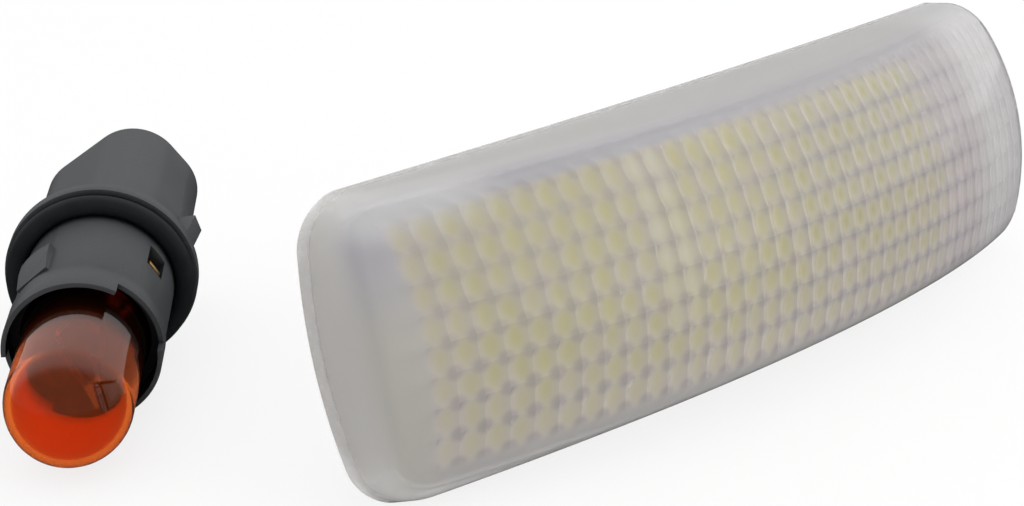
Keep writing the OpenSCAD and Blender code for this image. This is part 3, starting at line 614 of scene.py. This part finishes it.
# %% [markdown]
# The sealing ring is moulded silicone rubber, darker and softer in its shine than the nylon, with a
# faint bloom. The panel seal is closed-cell foam, whose cut cells of about half a millimetre show as
# a rough surface.
# %% Rubber and foam
BLOOM_SIZE, CELL_SIZE = 2, 0.5
ring_rubber, tree, skin, spot = start_material("silicone rubber, black, moulded", Roughness=0.5,
                                               IOR=1.43, Specular_IOR_Level=0.3)
bloom = add(tree, NOISE, {"Vector": spot, "Scale": 1 / BLOOM_SIZE, "Detail": 4.0})
tone = add(tree, MIX, {0: bloom, 6: paint("15171A"), 7: paint("212427")}, data_type="RGBA")
tree.links.new(tone.outputs[2], skin.inputs["Base Color"])
panel_foam, tree, skin, spot = start_material("EPDM foam, closed cell, die cut", Roughness=0.9)
cells = add(tree, CELLS, {"Vector": spot, "Scale": 1 / CELL_SIZE}).outputs["Distance"]
tone = add(tree, MIX, {0: cells, 6: paint("232324"), 7: paint("3C3C3D")}, data_type="RGBA")
tree.links.new(tone.outputs[2], skin.inputs["Base Color"])
bump = add(tree, BUMP, {"Height": cells, "Strength": 0.6, "Distance": 0.0002})
tree.links.new(bump.outputs[0], skin.inputs["Normal"])
print("seals:", ring_rubber.name, "and", panel_foam.name)

# %% [markdown]
# The contacts are stamped from rolled brass, which keeps faint lines along its length, and the clip
# is spring steel with a zinc plating, whose patches of 0.7 mm differ a little in tone.
# %% Brass and spring steel
LINE_WIDTH, LINE_LENGTH, PLATING_SIZE = 1 / 6, 10 / 3, 0.714
contact_brass, tree, skin, spot = start_material("brass, rolled and stamped", Metallic=1.0,
                                                 Roughness=0.28)
line_scale = (1 / LINE_WIDTH, 1 / LINE_LENGTH, 1 / LINE_WIDTH)
rolled = add(tree, MAPPING, {"Vector": spot, "Scale": line_scale})
lines = add(tree, NOISE, {"Vector": rolled, "Scale": 1.0, "Detail": 4.0})
tone = add(tree, MIX, {0: lines, 6: paint("C9A05A"), 7: paint("E3BF7C")}, data_type="RGBA")
tree.links.new(tone.outputs[2], skin.inputs["Base Color"])
clip_steel, tree, skin, spot = start_material("spring steel, zinc plated", Metallic=1.0, Roughness=0.34)
plating = add(tree, CELLS, {"Vector": spot, "Scale": 1 / PLATING_SIZE}).outputs["Color"]
tone = add(tree, MIX, {0: plating, 6: paint("A9ADB2"), 7: paint("C5C8CB")}, data_type="RGBA")
tree.links.new(tone.outputs[2], skin.inputs["Base Color"])
print("metals:", contact_brass.name, "and", clip_steel.name)

# %% [markdown]
# The bulb's two leads are dull drawn wire, whose shine changes every half a millimetre or so, and the
# coil between them is tungsten, darkened by its own heat.
# %% Wire and tungsten
DRAWN_SIZE, HEAT_SIZE = 0.4, 0.83
lead_wire, tree, skin, spot = start_material("nickel-iron wire, drawn", Metallic=1.0)
drawn = add(tree, NOISE, {"Vector": spot, "Scale": 1 / DRAWN_SIZE, "Detail": 3.0}).outputs["Fac"]
tone = add(tree, MIX, {0: drawn, 6: paint("8F8C86"), 7: paint("B4B1AB")}, data_type="RGBA")
tree.links.new(tone.outputs[2], skin.inputs["Base Color"])
rough = add(tree, SPAN, {0: drawn, 3: 0.3, 4: 0.5})
tree.links.new(rough.outputs[0], skin.inputs["Roughness"])
tungsten, tree, skin, spot = start_material("tungsten, coiled", Metallic=1.0, Roughness=0.45)
heat = add(tree, NOISE, {"Vector": spot, "Scale": 1 / HEAT_SIZE})
tone = add(tree, MIX, {0: heat, 6: paint("3A3838"), 7: paint("6A6666")}, data_type="RGBA")
tree.links.new(tone.outputs[2], skin.inputs["Base Color"])
print("metals:", lead_wire.name, "and", tungsten.name)

# %% [markdown]
# The bulb is soda-lime glass with an amber lacquer baked on. Lacquered glass passes orange light and
# has a clear highlight, so it is a shader that transmits, with an amber colour and a coat for the
# lacquer. Light crosses the wall at least twice, and each pass tints it, so the colour is paler here
# than what one sees. Its lower part, where it stands in the neck, is tinted darker as painted shade:
# a Mapping node gives the height along the bulb, from its base to its tip.
# %% Amber glass
POUR_SIZE, AMBER_FROM, DARK_TO = 4, 18.5, 14.5
amber_glass, tree, skin, spot = start_material(
    "soda-lime glass, amber lacquered", Roughness=0.05, IOR=1.5, Transmission_Weight=0.95,
    Coat_Weight=0.3, Coat_Roughness=0.05, Coat_IOR=1.5)
pour = add(tree, NOISE, {"Vector": spot, "Scale": 1 / POUR_SIZE, "Detail": 2.0})
tone = add(tree, MIX, {0: pour, 6: paint("F0742C"), 7: paint("EE6A26")}, data_type="RGBA")
up_bulb = add(tree, MAPPING, {"Vector": spot, "Location": bulb_place.translation / MM,
                              "Rotation": bulb_place.to_euler()}, vector_type="TEXTURE")
height = add(tree, "ShaderNodeSeparateXYZ", {0: up_bulb}).outputs["Z"]
# Painted shade: the bulb's lower part, in the neck, is tinted towards dark brown
painted_neck_shade = add(tree, SPAN, {0: height, 1: AMBER_FROM, 2: DARK_TO, 4: 0.93}, interpolation_type="SMOOTHSTEP")
tone = add(tree, MIX, {0: painted_neck_shade, 6: tone, 7: paint("2C1006")}, data_type="RGBA")
tree.links.new(tone.outputs[2], skin.inputs["Base Color"])
print("bulb:", amber_glass.name)

# %% [markdown]
# The CAD solids have razor-sharp edges, and no moulding or stamping does: the small round on every
# edge is what catches light. So each of these pieces is a copy of its CAD node, with its loose
# triangles merged, its flat faces made whole again, and a bevel of a tenth or two of a millimetre.
# %% Rounded copies of the moulded and stamped pieces
FLAT_ANGLE, SHARP_ANGLE, SMOOTH_ANGLE = math.radians(0.05), math.radians(35), math.radians(32)


def rounded_copy(node, name, finish, width):
    """A copy of a CAD node with merged faces and rounded edges, standing for that node."""
    bpy.ops.object.select_all(action="DESELECT")
    source = cad[node]
    source.select_set(True)
    bpy.context.view_layer.objects.active = source
    bpy.ops.object.duplicate()
    piece = bpy.context.object
    piece.name = name
    piece.parent = None
    piece.data.materials.clear()
    piece.data.materials.append(finish)
    bpy.ops.object.mode_set(mode="EDIT")
    bpy.ops.mesh.select_all(action="SELECT")
    bpy.ops.mesh.remove_doubles(threshold=1e-6)
    bpy.ops.mesh.dissolve_limited(angle_limit=FLAT_ANGLE)
    bpy.ops.object.mode_set(mode="OBJECT")
    bevel = piece.modifiers.new("rounded edges", "BEVEL")
    bevel.width = width * MM
    bevel.segments = 2
    bevel.limit_method = "ANGLE"
    bevel.angle_limit = SHARP_ANGLE
    bevel.use_clamp_overlap = True
    bpy.ops.object.modifier_apply(modifier=bevel.name)
    bpy.ops.object.shade_smooth_by_angle(angle=SMOOTH_ANGLE)
    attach(piece, "root")
    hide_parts(node)
    print(name, len(piece.data.polygons), "faces")
    return piece


rounded_copy("rear_housing", "white_housing", white_abs, 0.15)
holder = rounded_copy("holder_body", "black_holder", black_nylon, 0.14)
rounded_copy("retaining_clip", "spring_clip", clip_steel, 0.08)
rounded_copy("panel_seal", "foam_strip", panel_foam, 0.2)
rounded_copy("contact_right", "right_contact", contact_brass, 0.06)
rounded_copy("contact_left", "left_contact", contact_brass, 0.06)

# %% [markdown]
# The neck ends in a thin lip, and the photograph shows black between that lip and the bulb. Here the
# bore is widened at its mouth by a cylinder that a Boolean modifier takes away.
# %% The neck's mouth
MOUTH_RADIUS, MOUTH_DEPTH = 6.2, 2.8
bpy.ops.object.select_all(action="DESELECT")
bpy.ops.mesh.primitive_cylinder_add(vertices=96, radius=MOUTH_RADIUS, depth=2 * MOUTH_DEPTH,
                                    location=(0, 0, NECK_LENGTH))
bpy.ops.object.transform_apply(location=True, rotation=True, scale=True)
mouth = bpy.context.object
settle(mouth, holder_place, angle=30)
widen = holder.modifiers.new("mouth", "BOOLEAN")
widen.operation = "DIFFERENCE"
widen.object = mouth
bpy.context.view_layer.objects.active = holder
bpy.ops.object.modifier_apply(modifier=widen.name)
# The cylinder is still the only piece selected
bpy.ops.object.delete()
holder.select_set(True)
bpy.ops.object.shade_smooth_by_angle(angle=SMOOTH_ANGLE)
print("holder with its mouth:", len(holder.data.polygons), "faces")

# %% [markdown]
# The sealing ring is a plain torus but for its parting line, the hair-thin ridge that the two halves
# of its mould leave round its outside. The torus is a primitive at the ring's size, and its outermost
# loop is pushed out by a few hundredths of a millimetre.
# %% The sealing ring
RING_SECTION, NECK_RADIUS, RING_STRETCH, PARTING_LINE = 0.85, 6.45, 0.02, 0.03
ring_radius = NECK_RADIUS + RING_STRETCH + RING_SECTION
outermost = ring_radius + RING_SECTION
bpy.ops.object.select_all(action="DESELECT")
bpy.ops.mesh.primitive_torus_add(major_radius=ring_radius, minor_radius=RING_SECTION, major_segments=128,
                                 minor_segments=32, location=(0, 0, RING_SECTION))
bpy.ops.object.transform_apply(location=True, rotation=True, scale=True)
ring = bpy.context.object
ring.name = "rubber_ring"
for vertex in ring.data.vertices:
    reach = math.hypot(vertex.co.x, vertex.co.y)
    if math.isclose(reach, outermost, abs_tol=0.005):
        vertex.co.x *= (outermost + PARTING_LINE) / reach
        vertex.co.y *= (outermost + PARTING_LINE) / reach
ring.data.materials.append(ring_rubber)
settle(ring, holder_place, angle=60)
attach(ring, "root")
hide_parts("holder_seal")
print("ring:", round(2 * outermost, 2), "mm across")

# %% [markdown]
# The bulb's glass is blown as a capsule and pinched flat at its foot while hot, so it has no edge
# anywhere: the round body runs into the flat base in one smooth sweep. It is a stack of rings. A
# circle is extruded once for each of them, and then each ring gets its widths, its squareness and
# its height.
# %% Stacks of rings
AROUND = 64


def ring_stack(name, sections):
    """A closed stack of rings, each with its half widths in X and Y, its squareness and its height."""
    bpy.ops.object.select_all(action="DESELECT")
    bpy.ops.mesh.primitive_circle_add(vertices=AROUND, radius=1, fill_type="NGON", location=(0, 0, 0))
    shape = bpy.context.object
    shape.name = name
    bpy.ops.object.mode_set(mode="EDIT")
    bpy.ops.mesh.select_all(action="SELECT")
    for section in sections[1:]:
        bpy.ops.mesh.extrude_region_move(TRANSFORM_OT_translate={"value": (0, 0, 1)})
    bpy.ops.object.mode_set(mode="OBJECT")
    for vertex in shape.data.vertices:
        half_x, half_y, square, z = sections[round(vertex.co.z)]
        x, y = vertex.co.x, vertex.co.y
        # A pinched ring has straighter sides: each of its points moves out from the circle
        power = 2 + square
        out = 1 / (abs(x) ** power + abs(y) ** power) ** (1 / power)
        vertex.co = (half_x * x * out, half_y * y * out, z)
    return shape


print("points in each ring:", AROUND)

# %% [markdown]
# From the tip down, the rings make a half sphere, a straight body, the pinch and the flat base with
# a rounded foot. The space inside is a second, smaller capsule whose faces look inwards, so that
# light crosses a real wall of glass.
# %% The bulb's glass
BULB_RADIUS, GLASS_WALL, BULB_BASE, BULB_LENGTH = 5.15, 0.6, 0.2, 26.8
BASE_THICKNESS, BASE_WIDTH, BASE_HEIGHT, SHOULDER_DROP = 2.2, 9.2, 6.5, 1
DOME_STEPS, PINCH_STEPS, BODY_STEPS, SQUARE = 14, 10, 4, 6
POLE_TURN = 88
BASE_RINGS, FOOT_ROUND = (5, 3.4, 1.8, 0.5), ((0.15, 0.15), (0.4, 0))
dome_z = BULB_BASE + BULB_LENGTH - BULB_RADIUS
shoulder_z = BULB_BASE + BASE_HEIGHT - SHOULDER_DROP + BULB_RADIUS


def dome(radius, end_z, way):
    """Rings of a half sphere, from its pole to nearly its full width."""
    turns = [math.radians(90 - POLE_TURN * step / DOME_STEPS) for step in range(DOME_STEPS + 1)]
    widths = [(radius * math.cos(turn), end_z + way * radius * math.sin(turn)) for turn in turns]
    return [(half, half, 0, z) for half, z in widths]


def pinch(share):
    """One ring of the sweep from the round body, at 0, to the flat base, at 1."""
    ease = share * share * (3 - 2 * share)
    return (BULB_RADIUS + (BASE_THICKNESS / 2 - BULB_RADIUS) * ease,
            BULB_RADIUS + (BASE_WIDTH / 2 - BULB_RADIUS) * ease, SQUARE * share ** 3,
            shoulder_z + (BULB_BASE + BASE_HEIGHT - shoulder_z) * share)


body_rings = [(BULB_RADIUS, BULB_RADIUS, 0, dome_z + (shoulder_z - dome_z) * step / BODY_STEPS)
              for step in range(1, BODY_STEPS)]
pinch_rings = [pinch(step / PINCH_STEPS) for step in range(PINCH_STEPS + 1)]
base_rings = [(BASE_THICKNESS / 2, BASE_WIDTH / 2, SQUARE, BULB_BASE + z) for z in BASE_RINGS]
foot_rings = [(BASE_THICKNESS / 2 - inset, BASE_WIDTH / 2 - inset, SQUARE, BULB_BASE + z)
              for inset, z in FOOT_ROUND]
glass = ring_stack("amber_bulb", dome(BULB_RADIUS, dome_z, 1) + body_rings + pinch_rings + base_rings
                   + foot_rings)
bore = BULB_RADIUS - GLASS_WALL
hollow = ring_stack("bulb_hollow", dome(bore, dome_z, 1) + [(bore, bore, 0, shoulder_z)]
                    + dome(bore, shoulder_z, -1)[::-1][1:])
print("bulb:", len(glass.data.vertices), "points outside and", len(hollow.data.vertices), "inside")

# %% [markdown]
# A dome ends in a ring of no width, whose points are merged into one pole. The faces of the two
# capsules are turned outwards and inwards, and the capsules are joined into one piece.
# %% Joining the bulb
for shape, inwards in ((glass, False), (hollow, True)):
    bpy.ops.object.select_all(action="DESELECT")
    shape.select_set(True)
    bpy.context.view_layer.objects.active = shape
    bpy.ops.object.mode_set(mode="EDIT")
    bpy.ops.mesh.select_all(action="SELECT")
    bpy.ops.mesh.remove_doubles(threshold=0.001)
    bpy.ops.mesh.normals_make_consistent(inside=inwards)
    bpy.ops.object.mode_set(mode="OBJECT")
glass.select_set(True)
bpy.context.view_layer.objects.active = glass
bpy.ops.object.join()
glass.data.materials.append(amber_glass)
settle(glass, bulb_place, angle=50)
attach(glass, "root")
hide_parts("bulb_glass")
print("bulb:", len(glass.data.polygons), "faces")

# %% [markdown]
# The filament is a fine tungsten coil that hangs between the two leads. A small circle is turned
# round the coil's axis by a Screw modifier, which gives a straight helix, and its ends are closed.
# %% Straight coil
POST_HALF, POST_RISE, SAG, COIL_RADIUS, COIL_WIRE = 2.8, 5, 1.2, 0.25, 0.05
TURNS, STEPS_A_TURN = 26, 12
arc_radius = (POST_HALF ** 2 + SAG ** 2) / (2 * SAG)
half_turn = math.asin(POST_HALF / arc_radius)
coil_length = 2 * half_turn * arc_radius
bpy.ops.object.select_all(action="DESELECT")
bpy.ops.mesh.primitive_circle_add(vertices=8, radius=COIL_WIRE, location=(COIL_RADIUS, 0, 0),
                                  rotation=(math.radians(90), 0, 0))
bpy.ops.object.transform_apply(location=True, rotation=True, scale=True)
coil = bpy.context.object
coil.name = "filament_coil"
screw = coil.modifiers.new("coil", "SCREW")
screw.angle = 2 * math.pi * TURNS
screw.steps = screw.render_steps = STEPS_A_TURN * TURNS
screw.screw_offset = coil_length
screw.use_merge_vertices = False
bpy.ops.object.modifier_apply(modifier=screw.name)
bpy.ops.object.mode_set(mode="EDIT")
bpy.ops.mesh.select_all(action="SELECT")
bpy.ops.mesh.region_to_loop()
bpy.ops.mesh.edge_face_add()
bpy.ops.object.mode_set(mode="OBJECT")
print("coil:", round(coil_length, 2), "mm long with", TURNS, "turns")

# %% [markdown]
# Its points are then laid along an arc between the leads. That swaps two of the axes, which turns the
# coil inside out, so its normals are made to point outwards afterwards. The leads keep their CAD
# shape and only get their metal.
# %% Filament and leads
arc_z = shoulder_z + POST_RISE + SAG - arc_radius
for vertex in coil.data.vertices:
    x, outwards, along = vertex.co
    angle = (along / coil_length * 2 - 1) * half_turn
    reach = arc_radius + outwards
    vertex.co = (x, reach * math.sin(angle), arc_z + reach * math.cos(angle))
bpy.ops.object.mode_set(mode="EDIT")
bpy.ops.mesh.select_all(action="SELECT")
bpy.ops.mesh.normals_make_consistent(inside=False)
bpy.ops.object.mode_set(mode="OBJECT")
coil.data.materials.append(tungsten)
settle(coil, bulb_place, angle=60)
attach(coil, "root")
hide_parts("filament")
for node in ("lead_left", "lead_right"):
    cad[node].data.materials.clear()
    cad[node].data.materials.append(lead_wire)
print("coil:", len(coil.data.polygons), "faces")

seen_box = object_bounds()
for name, box in (("CAD box", cad_box), ("seen box", seen_box)):
    print(name, [[round(v / MM, 2) for v in corner] for corner in box])
